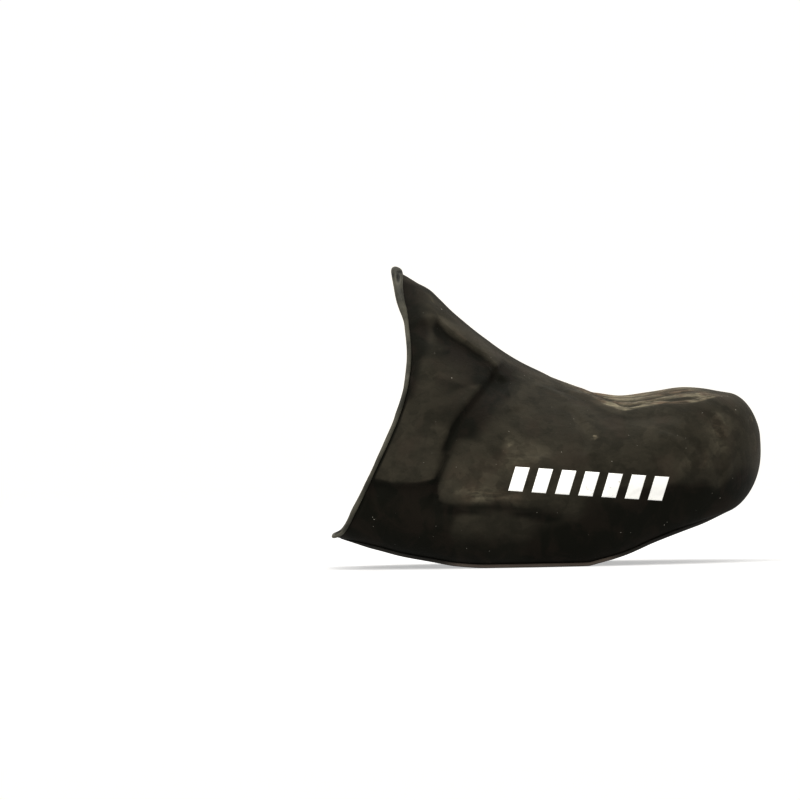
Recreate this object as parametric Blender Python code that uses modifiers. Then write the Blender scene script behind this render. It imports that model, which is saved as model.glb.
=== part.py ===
"""Toe cover for a road cycling shoe, right foot.

A cap of dipped rubber for the front half of the shoe: an upper with the form of the last, a sole panel
bonded under it with an opening for the cleat, and a rolled bead all round the collar.
Lengths are in metres. +X points to the toe, -Y to the outer side of the foot and +Z up.
"""

import math
from collections import namedtuple

import bmesh
import bpy
from mathutils import Vector

for leftover in list(bpy.data.objects):
    bpy.data.objects.remove(leftover, do_unlink=True)

# Outer form
LENGTH = 0.1700           # low rear edge of the collar to the tip of the toe
BALL_WIDTH = 0.1040       # across the ball of the foot, outside
INSTEP_HEIGHT = 0.1147    # floor to the upper's edge at the peak of the collar
TOE_HEIGHT = 0.0680       # floor to the top of the toe box
NOSE_HEIGHT = 0.0440      # floor to the foremost point of the toe
TOE_SPRING = 0.0225       # rise of the underside towards the tip
ARCH_RISE = 0.0115        # rise of the underside at the collar
NOSE_ROUND_TOP = 0.0120   # length of the rounding over the toe, side view
NOSE_ROUND_UNDER = 0.0145 # length of the rounding under the toe, side view
NOSE_ROUND_PLAN = 0.0480  # length of the rounding of the toe, seen from above
NOSE_FULLNESS = 2.2       # of the three roundings: 2 is an ellipse, and more is blunter

# Rubber
WALL = 0.0010
SOLE_THICKNESS = 0.0012
BEAD_DIAMETER = 0.0018
CLEARANCE = 0.0003        # bonded or moulded faces meet with this gap

# Sole panel
SOLE_LIP = 0.0015         # the panel's edge past the level underside of the upper
SOLE_REAR_GAP = 0.0030    # panel's rear edge to the collar's edge
SOLE_TOE_GAP = 0.0120     # panel's front edge to the tip of the toe
SOLE_ROUND_TOE = 0.0240   # length of the panel's rounding at the toe
SOLE_ROUND_REAR = 0.0090  # length of the panel's rounding at the collar
LAP = 0.0090              # margin of the upper that the panel covers
CLEAT_LENGTH = 0.0380
CLEAT_WIDTH = 0.0360
CLEAT_SETBACK = 0.0955    # tip of the toe to the middle of the cleat opening

# Facets
RINGS = 32                # sections between the collar and the tip
ARC_STEPS = {"flat": 3, "corner": 5, "side": 16}
BEAD_ARC_STEPS = {"flat": 24, "corner": 24, "side": 60}
BEAD_STEPS = 104
OUTLINE_STEPS = 30
OVAL_STEPS = 40
NEAR_STEP = 0.01          # a step ahead along the spine, for a direction
HALVINGS = 40             # of the search for the collar's place

FORM_LENGTH = LENGTH - BEAD_DIAMETER - CLEARANCE
SOLE_STACK = SOLE_THICKNESS + CLEARANCE
NOSE_ZONE = NOSE_ROUND_UNDER / FORM_LENGTH

# Side view. Shares of: the length from the collar, ARCH_RISE, TOE_SPRING, the instep's height over the
# toe box, and TOE_HEIGHT.
Side = namedtuple("Side", "along arch spring rise toe")
SIDE_VIEW = (
    Side(0.000, 1.00, 0.00, 1.24, 1.000),
    Side(0.100, 0.66, 0.00, 1.11, 1.000),
    Side(0.160, 0.42, 0.00, 1.015, 1.000),
    Side(0.190, 0.33, 0.00, 0.955, 1.000),
    Side(0.238, 0.20, 0.00, 0.838, 1.000),
    Side(0.254, 0.15, 0.00, 0.778, 1.000),
    Side(0.285, 0.07, 0.00, 0.666, 1.000),
    Side(0.356, 0.00, 0.00, 0.448, 1.000),
    Side(0.424, 0.00, 0.00, 0.272, 1.000),
    Side(0.492, 0.00, 0.00, 0.138, 1.000),
    Side(0.585, 0.00, 0.00, 0.024, 0.989),
    Side(0.615, 0.00, 0.045, 0.000, 0.979),
    Side(0.676, 0.00, 0.17, 0.000, 0.960),
    Side(0.745, 0.00, 0.38, 0.000, 0.974),
    Side(0.828, 0.00, 0.60, 0.000, 0.998),
    Side(0.910, 0.00, 0.79, 0.000, 0.973),
    Side(1.000, 0.00, 1.00, 0.000, 0.925),
)

# Seen from above. Shares of: the length, and then BALL_WIDTH for the middle line, the reach from it to the
# outer and the inner side, and the crest of the instep and toes.
Plan = namedtuple("Plan", "along middle outer inner crest")
PLAN_VIEW = (
    Plan(0.000, -0.019, 0.330, 0.317, 0.038),
    Plan(0.083, -0.019, 0.374, 0.346, 0.046),
    Plan(0.166, -0.014, 0.423, 0.385, 0.056),
    Plan(0.249, -0.009, 0.466, 0.428, 0.062),
    Plan(0.331, 0.000, 0.496, 0.462, 0.068),
    Plan(0.414, 0.009, 0.508, 0.481, 0.076),
    Plan(0.497, 0.019, 0.507, 0.481, 0.088),
    Plan(0.580, 0.033, 0.497, 0.465, 0.104),
    Plan(0.663, 0.050, 0.475, 0.434, 0.120),
    Plan(0.745, 0.067, 0.440, 0.392, 0.128),
    Plan(0.828, 0.079, 0.424, 0.372, 0.124),
    Plan(0.910, 0.083, 0.409, 0.356, 0.108),
    Plan(1.000, 0.084, 0.392, 0.343, 0.084),
)

# Cross sections. Shares of: the length, the section's height for its widest line, the half width for its
# level underside, and how far each curve's handles reach, on the wall and on the crown, outer and inner.
Section = namedtuple("Section", "along widest level wall_outer crown_outer wall_inner crown_inner")
CROSS_SECTIONS = (
    Section(0.000, 0.174, 0.66, 0.40, 0.42, 0.50, 0.45),
    Section(0.166, 0.224, 0.70, 0.38, 0.42, 0.50, 0.45),
    Section(0.331, 0.295, 0.78, 0.42, 0.46, 0.52, 0.50),
    Section(0.497, 0.349, 0.82, 0.48, 0.54, 0.55, 0.56),
    Section(0.663, 0.415, 0.79, 0.57, 0.66, 0.58, 0.62),
    Section(0.828, 0.440, 0.76, 0.61, 0.69, 0.60, 0.62),
    Section(0.910, 0.460, 0.72, 0.61, 0.65, 0.59, 0.60),
    Section(1.000, 0.494, 0.45, 0.55, 0.55, 0.55, 0.55),
)
CORNER_HANDLE = 0.58      # same reach for the turn from the wall to the underside

# Collar line in side view. Shares of: INSTEP_HEIGHT and the length.
Collar = namedtuple("Collar", "height along")
COLLAR_LINE = (
    Collar(0.113, 0.000),
    Collar(0.195, 0.048),
    Collar(0.300, 0.092),
    Collar(0.406, 0.127),
    Collar(0.512, 0.159),
    Collar(0.618, 0.181),
    Collar(0.726, 0.189),
    Collar(0.833, 0.184),
    Collar(0.915, 0.168),
    Collar(1.000, 0.160),
)
BEAD_SWELL = 0.45         # the bead is this much thicker at the peak of the collar
BEAD_SWELL_START = 0.78   # share of INSTEP_HEIGHT where it starts to thicken


def follow(table, key, column, at):
    """Value of one column at a place along a table, on a smooth curve that never overshoots a row."""
    places = [getattr(row, key) for row in table]
    values = [getattr(row, column) for row in table]
    at = min(max(at, places[0]), places[-1])
    right = next(index for index in range(1, len(places)) if at <= places[index])
    left = right - 1

    def secant(index):
        return (values[index + 1] - values[index]) / (places[index + 1] - places[index])

    def slope(index):
        if index == 0 or index == len(places) - 1:
            return secant(min(index, len(places) - 2))
        before, after = secant(index - 1), secant(index)
        return 2 * before * after / (before + after) if before * after > 0 else 0.0

    gap = places[right] - places[left]
    t = (at - places[left]) / gap
    return ((1 + 2 * t) * (1 - t) ** 2 * values[left] + t * (1 - t) ** 2 * gap * slope(left)
            + t * t * (3 - 2 * t) * values[right] + t * t * (t - 1) * gap * slope(right))


def rounding(along, reach):
    """1 where the toe is still full, falling to 0 at the tip as a quarter oval of the given length."""
    inside = max(0.0, 1 - (1 - along) * FORM_LENGTH / reach)
    return max(0.0, 1 - inside ** NOSE_FULLNESS) ** (1 / NOSE_FULLNESS)


def spine(step):
    """Share of the length for an even step from 0 to 1, with the steps closing up round the nose."""
    straight = (1 - NOSE_ZONE) / (1 - NOSE_ZONE + NOSE_ZONE * math.pi / 2)
    if step < straight:
        return step / straight * (1 - NOSE_ZONE)
    return 1 - NOSE_ZONE + NOSE_ZONE * math.sin((step - straight) / (1 - straight) * math.pi / 2)


def along_to_x(along):
    return LENGTH / 2 - (1 - along) * FORM_LENGTH


def underside(along):
    """Height of the upper's underside on its middle line."""
    rise = (ARCH_RISE * follow(SIDE_VIEW, "along", "arch", along)
            + TOE_SPRING * follow(SIDE_VIEW, "along", "spring", along))
    return NOSE_HEIGHT + (SOLE_STACK + rise - NOSE_HEIGHT) * rounding(along, NOSE_ROUND_UNDER)


def crest(along):
    """Height of the line over the instep and the toes."""
    height = ((INSTEP_HEIGHT - TOE_HEIGHT) * follow(SIDE_VIEW, "along", "rise", along)
              + TOE_HEIGHT * follow(SIDE_VIEW, "along", "toe", along))
    return NOSE_HEIGHT + (height - NOSE_HEIGHT) * rounding(along, NOSE_ROUND_TOP)


def sideways(along, column):
    """One of the plan view's distances in metres, drawn in round the toe where it is a reach."""
    distance = BALL_WIDTH * follow(PLAN_VIEW, "along", column, along)
    return distance if column == "middle" else distance * rounding(along, NOSE_ROUND_PLAN)


def bezier(start, first, second, end, t):
    return (start * (1 - t) ** 3 + first * 3 * t * (1 - t) ** 2
            + second * 3 * t * t * (1 - t) + end * t ** 3)


def section_point(along, arc, t):
    """Point of the outer surface on one arc of the cross section, where t runs from 0 to 1.

    The arcs are flat, corner and side. Each name has the side of the foot before it, as in outer_flat.
    """
    side, name = arc.split("_")
    sign = -1 if side == "outer" else 1
    low, high = underside(along), crest(along)
    middle = sideways(along, "middle")
    reach = sideways(along, side)
    widest = low + (high - low) * follow(CROSS_SECTIONS, "along", "widest", along)
    level = reach * follow(CROSS_SECTIONS, "along", "level", along)
    x = along_to_x(along)
    centre = Vector((x, middle, low))
    edge = Vector((x, middle + sign * level, low))
    if name == "flat":
        return centre.lerp(edge, t)
    flank = Vector((x, middle + sign * reach, widest))
    if name == "corner":
        handle_out = Vector((0, sign * (reach - level) * CORNER_HANDLE, 0))
        handle_down = Vector((0, 0, (low - widest) * CORNER_HANDLE))
        return bezier(edge, edge + handle_out, flank + handle_down, flank, t)
    off_middle = BALL_WIDTH * follow(PLAN_VIEW, "along", "crest", along) - middle
    top = Vector((x, middle + off_middle * rounding(along, NOSE_ROUND_PLAN), high))
    wall = follow(CROSS_SECTIONS, "along", "wall_" + side, along)
    crown = follow(CROSS_SECTIONS, "along", "crown_" + side, along)
    handle_up = Vector((0, 0, (high - widest) * wall))
    handle_in = Vector((0, (flank.y - top.y) * crown, 0))
    return bezier(flank, flank + handle_up, top + handle_in, top, t)


def around(steps_of):
    """Every place round a section as (arc, t): under the foot, up the outer side, over and down the inner."""
    places = []
    for arc in ("outer_flat", "outer_corner", "outer_side"):
        steps = steps_of[arc.split("_")[1]]
        places += [(arc, step / steps) for step in range(steps)]
    for arc in ("inner_side", "inner_corner", "inner_flat"):
        steps = steps_of[arc.split("_")[1]]
        places += [(arc, 1 - step / steps) for step in range(steps)]
    return places


def collar_step(arc, t):
    """Step of the spine where the collar cuts the line that runs along the foot at this place."""
    low, high = 0.0, 0.5
    for _ in range(HALVINGS):
        step = (low + high) / 2
        point = section_point(spine(step), arc, t)
        if spine(step) < follow(COLLAR_LINE, "height", "along", point.z / INSTEP_HEIGHT):
            low = step
        else:
            high = step
    return step


def rubber(name, color, roughness):
    material = bpy.data.materials.new(name)
    material.use_nodes = True
    shader = material.node_tree.nodes["Principled BSDF"]
    shader.inputs["Base Color"].default_value = color
    shader.inputs["Roughness"].default_value = roughness
    shader.inputs["Metallic"].default_value = 0.0
    return material


def place(name, data, collection, material=None):
    item = bpy.data.objects.new(name, data)
    collection.objects.link(item)
    if material:
        data.materials.append(material)
    return item


def mesh_from(name, vertices, faces):
    mesh = bpy.data.meshes.new(name)
    mesh.from_pydata(vertices, [], faces)
    mesh.update()
    return mesh


def cut_with(item, cutter, operation):
    boolean = item.modifiers.new(cutter.name, "BOOLEAN")
    boolean.operation = operation
    boolean.solver = "EXACT"
    boolean.object = cutter


def prism(name, outline, bottom, top, collection):
    """Cutter with a flat outline, standing upright."""
    cutter_mesh = bmesh.new()
    corners = [cutter_mesh.verts.new((x, y, bottom)) for x, y in outline]
    base = cutter_mesh.faces.new(corners)
    lifted = bmesh.ops.extrude_face_region(cutter_mesh, geom=[base])["geom"]
    bmesh.ops.translate(cutter_mesh, vec=(0, 0, top - bottom),
                        verts=[part for part in lifted if isinstance(part, bmesh.types.BMVert)])
    bmesh.ops.recalc_face_normals(cutter_mesh, faces=cutter_mesh.faces)
    mesh = bpy.data.meshes.new(name)
    cutter_mesh.to_mesh(mesh)
    cutter_mesh.free()
    cutter = place(name, mesh, collection)
    cutter.hide_render = True
    cutter.display_type = "WIRE"
    return cutter


def sole_outline(inset):
    """Outline of the sole panel, or of a smaller one inside it, as a loop of (x, y)."""
    rear = along_to_x(0) + SOLE_REAR_GAP + inset
    front = LENGTH / 2 - SOLE_TOE_GAP - inset
    places = [rear + (front - rear) * (1 - math.cos(math.pi * step / OUTLINE_STEPS)) / 2
              for step in range(OUTLINE_STEPS + 1)]

    def edge(x, side):
        along = 1 - (LENGTH / 2 - x) / FORM_LENGTH
        to_front = min(1.0, (front - x) / SOLE_ROUND_TOE)
        to_rear = min(1.0, (x - rear) / SOLE_ROUND_REAR)
        rounded = math.sqrt(max(0.0, 1 - (1 - to_front) ** 2))
        squared = (1 - (1 - to_rear) ** 4) ** 0.25
        level = sideways(along, side) * follow(CROSS_SECTIONS, "along", "level", along)
        sign = -1 if side == "outer" else 1
        return sideways(along, "middle") + sign * (level + SOLE_LIP - inset) * rounded * squared

    outer = [(x, edge(x, "outer")) for x in places]
    inner = [(x, edge(x, "inner")) for x in reversed(places[1:-1])]
    return outer + inner


def make_upper(collection, cutters, material):
    """The skin: rings from the collar to the tip, thickened inwards, and opened over the sole panel."""
    places = around(ARC_STEPS)
    starts = [collar_step(arc, t) for arc, t in places]
    vertices = []
    for ring in range(RINGS):
        for start, (arc, t) in zip(starts, places):
            step = start + (1 - start) * ring / RINGS
            vertices.append(section_point(spine(step), arc, t))
    vertices.append(Vector((LENGTH / 2, sideways(1, "middle"), NOSE_HEIGHT)))
    count = len(places)
    faces = []
    for ring in range(RINGS):
        for column in range(count):
            beside = (column + 1) % count
            here, near = ring * count + column, ring * count + beside
            if ring == RINGS - 1:
                faces.append((here, len(vertices) - 1, near))
            else:
                faces.append((here, here + count, near + count, near))
    upper = place("upper", mesh_from("upper", vertices, faces), collection, material)
    upper.data.shade_smooth()
    skin = upper.modifiers.new("wall", "SOLIDIFY")
    skin.thickness = WALL
    skin.offset = -1
    skin.use_even_offset = True
    opening = prism("upper_opening", sole_outline(LAP), -WALL, NOSE_HEIGHT, cutters)
    cut_with(upper, opening, "DIFFERENCE")
    return upper


def make_sole(collection, cutters, material):
    """The panel: a sheet along the line of the underside, cut to its outline and opened for the cleat."""
    vertices, faces = [], []
    for ring in range(RINGS):
        along = spine(ring / RINGS)
        height = underside(along) - CLEARANCE
        vertices += [(along_to_x(along), side * BALL_WIDTH, height) for side in (-1, 1)]
    for index in range(0, len(vertices) - 3, 2):
        faces.append((index, index + 2, index + 3, index + 1))
    sole = place("sole", mesh_from("sole", vertices, faces), collection, material)
    sheet = sole.modifiers.new("thickness", "SOLIDIFY")
    sheet.thickness = SOLE_THICKNESS
    sheet.offset = -1
    sheet.use_even_offset = True
    cut_with(sole, prism("sole_outline", sole_outline(0), -SOLE_STACK, NOSE_HEIGHT, cutters), "INTERSECT")
    middle = LENGTH / 2 - CLEAT_SETBACK
    along = 1 - CLEAT_SETBACK / FORM_LENGTH
    turns = [2 * math.pi * step / OVAL_STEPS for step in range(OVAL_STEPS)]
    oval = [(middle + CLEAT_LENGTH / 2 * math.cos(turn),
             sideways(along, "middle") + CLEAT_WIDTH / 2 * math.sin(turn)) for turn in turns]
    cut_with(sole, prism("cleat_opening", oval, -SOLE_STACK, SOLE_STACK * 2, cutters), "DIFFERENCE")
    return sole


def make_collar_bead(collection, material):
    """The rolled rim: a closed tube just past the collar's edge, on the line of the wall."""
    edge, ahead = [], []
    for arc, t in around(BEAD_ARC_STEPS):
        step = collar_step(arc, t)
        edge.append(section_point(spine(step), arc, t))
        ahead.append(section_point(spine(step + NEAR_STEP), arc, t))
    centres, swells = [], []
    for index, corner in enumerate(edge):
        run = edge[(index + 1) % len(edge)] - edge[index - 1]
        outward = (ahead[index] - corner).cross(run).normalized()
        backwards = outward.cross(run).normalized()
        share = (corner.z / INSTEP_HEIGHT - BEAD_SWELL_START) / (1 - BEAD_SWELL_START)
        swell = 1 + BEAD_SWELL * min(max(share, 0.0), 1.0) ** 2
        centres.append(corner + backwards * (CLEARANCE + BEAD_DIAMETER / 2 * swell) - outward * WALL / 2)
        swells.append(swell)
    spline_points = even_steps(centres, swells, BEAD_STEPS)
    curve = bpy.data.curves.new("collar_bead", "CURVE")
    curve.dimensions = "3D"
    curve.bevel_depth = BEAD_DIAMETER / 2
    curve.bevel_resolution = 2
    spline = curve.splines.new("POLY")
    spline.points.add(len(spline_points) - 1)
    for point, (centre, swell) in zip(spline.points, spline_points):
        point.co = (*centre, 1)
        point.radius = swell
    spline.use_cyclic_u = True
    return place("collar_bead", curve, collection, material)


def even_steps(points, values, count):
    """The same closed loop again, as evenly spaced points with their values."""
    loop = points + points[:1]
    lengths = [0.0]
    for before, after in zip(loop, loop[1:]):
        lengths.append(lengths[-1] + (after - before).length)
    wrapped = values + values[:1]
    result = []
    index = 0
    for step in range(count):
        target = lengths[-1] * step / count
        while lengths[index + 1] < target:
            index += 1
        t = (target - lengths[index]) / (lengths[index + 1] - lengths[index])
        value = wrapped[index] * (1 - t) + wrapped[index + 1] * t
        result.append((loop[index].lerp(loop[index + 1], t), value))
    return result


cover = bpy.data.collections.new("toe_cover")
tools = bpy.data.collections.new("cutters")
bpy.context.scene.collection.children.link(cover)
bpy.context.scene.collection.children.link(tools)

make_upper(cover, tools, rubber("upper_rubber", (0.030, 0.028, 0.023, 1), 0.55))
make_sole(cover, tools, rubber("sole_rubber", (0.045, 0.040, 0.032, 1), 0.65))
make_collar_bead(cover, rubber("bead_rubber", (0.085, 0.080, 0.065, 1), 0.50))
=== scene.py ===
"""Finished look of a cycling toe cover, right foot.

Lengths are in metres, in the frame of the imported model: +X to the toe, -Y to the outer side, +Z up.
"""

import math
from collections import namedtuple

import bmesh
import bpy
import numpy as np
from mathutils import Matrix, Vector, noise
from mathutils.bvhtree import BVHTree


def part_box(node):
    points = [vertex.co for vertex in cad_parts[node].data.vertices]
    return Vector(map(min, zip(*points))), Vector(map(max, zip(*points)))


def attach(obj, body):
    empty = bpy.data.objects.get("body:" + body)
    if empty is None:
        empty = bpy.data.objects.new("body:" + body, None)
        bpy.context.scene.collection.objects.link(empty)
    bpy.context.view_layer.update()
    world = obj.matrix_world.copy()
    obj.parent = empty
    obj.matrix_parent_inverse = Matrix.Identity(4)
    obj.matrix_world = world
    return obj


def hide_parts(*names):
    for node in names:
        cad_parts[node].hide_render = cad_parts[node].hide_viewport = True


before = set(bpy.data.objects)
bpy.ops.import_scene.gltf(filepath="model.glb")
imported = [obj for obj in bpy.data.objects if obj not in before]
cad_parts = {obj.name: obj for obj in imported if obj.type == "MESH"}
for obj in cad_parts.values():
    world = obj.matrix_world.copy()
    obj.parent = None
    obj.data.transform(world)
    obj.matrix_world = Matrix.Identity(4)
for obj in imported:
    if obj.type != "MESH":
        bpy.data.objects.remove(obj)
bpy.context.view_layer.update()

# The upper
# A skin of dipped natural rubber about 1 mm thick, stretched over the last, so it shows the last's planes
# and the pull folds between them. It comes off its mould in one piece, with a margin turned under.

MM = 0.001
upper_low, upper_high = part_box("upper")
sole_low, sole_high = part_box("sole")
TOE_X = upper_high[0]
FORM_LENGTH = upper_high[0] - upper_low[0]
BALL_WIDTH = 104.0 * MM
INSTEP_HEIGHT = 114.7 * MM
TOE_HEIGHT = 68.0 * MM
NOSE_HEIGHT = 44.0 * MM
TOE_SPRING = 22.5 * MM
ARCH_RISE = 11.5 * MM
NOSE_ROUND_TOP = 12.0 * MM
NOSE_ROUND_UNDER = 14.5 * MM
NOSE_ROUND_PLAN = 48.0 * MM
NOSE_FULLNESS = 2.2     # 2 is an ellipse, and more is blunter
WALL = 1.0 * MM
SOLE_THICKNESS = 1.2 * MM
SOLE_STACK = SOLE_THICKNESS + 0.3 * MM
LAP = 9.0 * MM
RINGS = 200
ARC_COLUMNS = {"flat": 20, "corner": 20, "side": 76}

# Side view. Shares of: the length from the collar, ARCH_RISE, TOE_SPRING, the instep's height over the
# toe box, and TOE_HEIGHT.
Side = namedtuple("Side", "along arch spring rise toe")
SIDE_VIEW = (
    Side(0.000, 1.00, 0.00, 1.24, 1.000),
    Side(0.100, 0.66, 0.00, 1.11, 1.000),
    Side(0.160, 0.42, 0.00, 1.015, 1.000),
    Side(0.190, 0.33, 0.00, 0.955, 1.000),
    Side(0.238, 0.20, 0.00, 0.838, 1.000),
    Side(0.254, 0.15, 0.00, 0.778, 1.000),
    Side(0.285, 0.07, 0.00, 0.666, 1.000),
    Side(0.356, 0.00, 0.00, 0.448, 1.000),
    Side(0.424, 0.00, 0.00, 0.272, 1.000),
    Side(0.492, 0.00, 0.00, 0.138, 1.000),
    Side(0.585, 0.00, 0.00, 0.024, 0.989),
    Side(0.615, 0.00, 0.045, 0.000, 0.979),
    Side(0.676, 0.00, 0.17, 0.000, 0.960),
    Side(0.745, 0.00, 0.38, 0.000, 0.974),
    Side(0.828, 0.00, 0.60, 0.000, 0.998),
    Side(0.910, 0.00, 0.79, 0.000, 0.973),
    Side(1.000, 0.00, 1.00, 0.000, 0.925),
)

# Seen from above. Shares of: the length, and then BALL_WIDTH for the middle line, the reach from it to the
# outer and the inner side, and the crest of the instep and toes.
Plan = namedtuple("Plan", "along middle outer inner crest")
PLAN_VIEW = (
    Plan(0.000, -0.019, 0.330, 0.317, 0.038),
    Plan(0.083, -0.019, 0.374, 0.346, 0.046),
    Plan(0.166, -0.014, 0.423, 0.385, 0.056),
    Plan(0.249, -0.009, 0.466, 0.428, 0.062),
    Plan(0.331, 0.000, 0.496, 0.462, 0.068),
    Plan(0.414, 0.009, 0.508, 0.481, 0.076),
    Plan(0.497, 0.019, 0.507, 0.481, 0.088),
    Plan(0.580, 0.033, 0.497, 0.465, 0.104),
    Plan(0.663, 0.050, 0.475, 0.434, 0.120),
    Plan(0.745, 0.067, 0.440, 0.392, 0.128),
    Plan(0.828, 0.079, 0.424, 0.372, 0.124),
    Plan(0.910, 0.083, 0.409, 0.356, 0.108),
    Plan(1.000, 0.084, 0.392, 0.343, 0.084),
)

# Cross sections. Shares of: the length, the section's height for its widest line, the half width for its
# level underside, and how far each curve's handles reach, on the wall and on the crown, outer and inner.
Section = namedtuple("Section", "along widest level wall_outer crown_outer wall_inner crown_inner")
CROSS_SECTIONS = (
    Section(0.000, 0.174, 0.66, 0.40, 0.42, 0.50, 0.45),
    Section(0.166, 0.224, 0.70, 0.38, 0.42, 0.50, 0.45),
    Section(0.331, 0.295, 0.78, 0.42, 0.46, 0.52, 0.50),
    Section(0.497, 0.349, 0.82, 0.48, 0.54, 0.55, 0.56),
    Section(0.663, 0.415, 0.79, 0.57, 0.66, 0.58, 0.62),
    Section(0.828, 0.440, 0.76, 0.61, 0.69, 0.60, 0.62),
    Section(0.910, 0.460, 0.72, 0.61, 0.65, 0.59, 0.60),
    Section(1.000, 0.494, 0.45, 0.55, 0.55, 0.55, 0.55),
)
CORNER_HANDLE = 0.58

# Collar line in side view. Shares of: INSTEP_HEIGHT and the length.
Collar = namedtuple("Collar", "height along")
COLLAR_LINE = (
    Collar(0.108, 0.000),
    Collar(0.120, 0.024),
    Collar(0.195, 0.055),
    Collar(0.300, 0.092),
    Collar(0.406, 0.127),
    Collar(0.512, 0.159),
    Collar(0.618, 0.181),
    Collar(0.726, 0.189),
    Collar(0.833, 0.184),
    Collar(0.915, 0.168),
    Collar(1.000, 0.160),
)

# Pull folds, edges and wrinkles. Each path runs over the surface through points in millimetres, forward and
# up as seen from a side, or forward and inward as seen from the top. Each row then has, for what lies left
# and right of the path as seen from outside, its height above the smooth form and how far it reaches, and
# the width of the change from one to the other. A trough's height is below 0.
Fold = namedtuple("Fold", "seen path left left_reach right right_reach edge")
FOLDS = (
    # The long pull fold under the instep, which hangs over a hollow
    Fold("outer", ((-40.5, 97), (-37.2, 92.4), (-30.1, 87), (-22.9, 81.8), (-19.2, 78.0), (-16.5, 74.5), (-12, 72)),
         0.5, 8.0, -1.8, 12.0, 2.0),
    # The slanted edge where the flat plane of the flank steps down to the slope ahead of it
    Fold("outer", ((-14, 81), (-18.6, 76), (-23.7, 69.4), (-28.7, 63.3), (-33.7, 57.2), (-38.6, 49.2),
                   (-39.6, 43.5), (-40.9, 37.5), (-43.2, 31.8), (-46, 24)), -1.2, 9.0, 0.8, 24.0, 2.4),
    # The edges where the side turns under, behind the slanted edge and ahead of it
    Fold("outer", ((-68, 34.5), (-62.8, 33.3), (-58.1, 31.9), (-47.8, 32.4), (-42, 34)), 0.7, 7.0, -1.5, 9.0, 1.8),
    Fold("outer", ((-42.5, 33), (-40.6, 26), (-34.3, 23.3), (-17.3, 23.8), (-7, 21.4), (8, 19.3)),
         0.6, 8.0, -0.9, 8.0, 2.4),
    # The channel beside the rolled rim, and the light pleat ahead of it
    Fold("outer", ((-53.6, 111), (-51.5, 96.5), (-50.9, 84), (-52, 72)), -0.9, 2.4, -0.9, 2.4, 1.0),
    Fold("outer", ((-43.5, 104), (-42.5, 96), (-42.3, 84), (-44, 74)), 0.5, 3.0, 0.5, 3.0, 1.0),
    # The edge of the toe box, and the wrinkles behind it
    Fold("outer", ((15, 67.5), (20.8, 63), (26, 60.3), (32.4, 58.8), (37.9, 59.9), (45.6, 60.9), (57.3, 61.1),
                   (65.8, 63), (71, 65)), 1.0, 6.5, 1.2, 8.0, 1.0),
    Fold("outer", ((18.6, 67), (25, 64), (32.4, 61.2), (37.9, 61.9), (43.3, 63.3)), -1.0, 1.3, -1.0, 1.3, 0.8),
    Fold("outer", ((40, 63.5), (47, 63.2), (54, 63.0), (61, 64)), -0.8, 1.3, -0.8, 1.3, 0.8),
    Fold("outer", ((4, 69), (12, 66), (20, 60), (26, 56)), -0.5, 2.2, -0.5, 2.2, 1.0),
    Fold("outer", ((-4, 71), (6, 66), (14, 60)), 0.4, 2.4, 0.4, 2.4, 1.0),
    Fold("outer", ((30, 56), (42, 56.5), (54, 57)), -0.7, 4.0, -0.7, 4.0, 1.0),
    Fold("top", ((14, -2), (24, -6), (36, -9), (48, -7), (60, -3)), -0.6, 1.5, -0.6, 1.5, 1.0),
    Fold("top", ((20, 3), (32, 0), (46, 0), (58, 3)), -0.5, 1.7, -0.5, 1.7, 1.0),
    Fold("top", ((10, 4), (22, 7), (36, 8), (50, 9)), 0.15, 2.2, 0.15, 2.2, 1.0),
    Fold("top", ((8, -10), (18, -13), (30, -16)), 0.5, 2.0, 0.5, 2.0, 1.0),
    Fold("top", ((-48, 6), (-34, 7), (-16, 8), (4, 9)), 0.5, 9.0, 0.5, 6.0, 4.0),
    Fold("top", ((-26, 24), (-14, 27), (0, 28), (10, 26)), -0.6, 4.0, -0.6, 4.0, 1.0),
    # Soft hollows over the ball and the toes
    Fold("outer", ((-12, 62), (-4, 52), (-2, 42)), -0.6, 5.0, -0.6, 5.0, 1.0),
    Fold("outer", ((10, 62), (17, 52), (16, 42)), 0.6, 5.0, -0.5, 5.0, 3.0),
    Fold("outer", ((28, 54), (31, 44), (29, 34)), 0.4, 5.0, 0.4, 5.0, 1.0),
    Fold("outer", ((44, 52), (54, 48), (62, 40)), -0.4, 5.0, 0.4, 5.0, 3.0),
    Fold("outer", ((66, 58), (70, 46), (69, 30)), 0.5, 5.0, -0.5, 5.0, 3.0),
    Fold("outer", ((24, 30), (40, 28), (56, 30)), 0.4, 6.0, -0.5, 6.0, 3.0),
    Fold("outer", ((-66, 46), (-60, 56), (-57, 66)), -0.4, 4.0, -0.4, 4.0, 1.0),
    # The inner side, pulled the same way
    Fold("inner", ((-16, 70), (-24, 82), (-36, 96)), -0.6, 6.0, -1.5, 9.0, 2.5),
    Fold("inner", ((-20, 72), (-28, 60), (-34, 48), (-38, 34)), 0.9, 15.0, -0.8, 8.0, 3.0),
    Fold("inner", ((-40, 30), (-52, 29), (-64, 32)), 0.6, 7.0, -1.0, 8.0, 2.5),
    Fold("inner", ((64, 60), (48, 59), (34, 58), (20, 62)), 0.6, 6.0, 0.3, 5.0, 2.0),
    Fold("inner", ((6, 60), (14, 50), (16, 38)), -0.5, 5.0, 0.4, 5.0, 3.0),
    Fold("inner", ((30, 48), (44, 40), (58, 38)), 0.5, 5.0, -0.4, 5.0, 3.0),
)
DENTS = ((9.0 * MM, 0.16 * MM), (24.0 * MM, 0.42 * MM))  # size of the dents, and how deep they are

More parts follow.
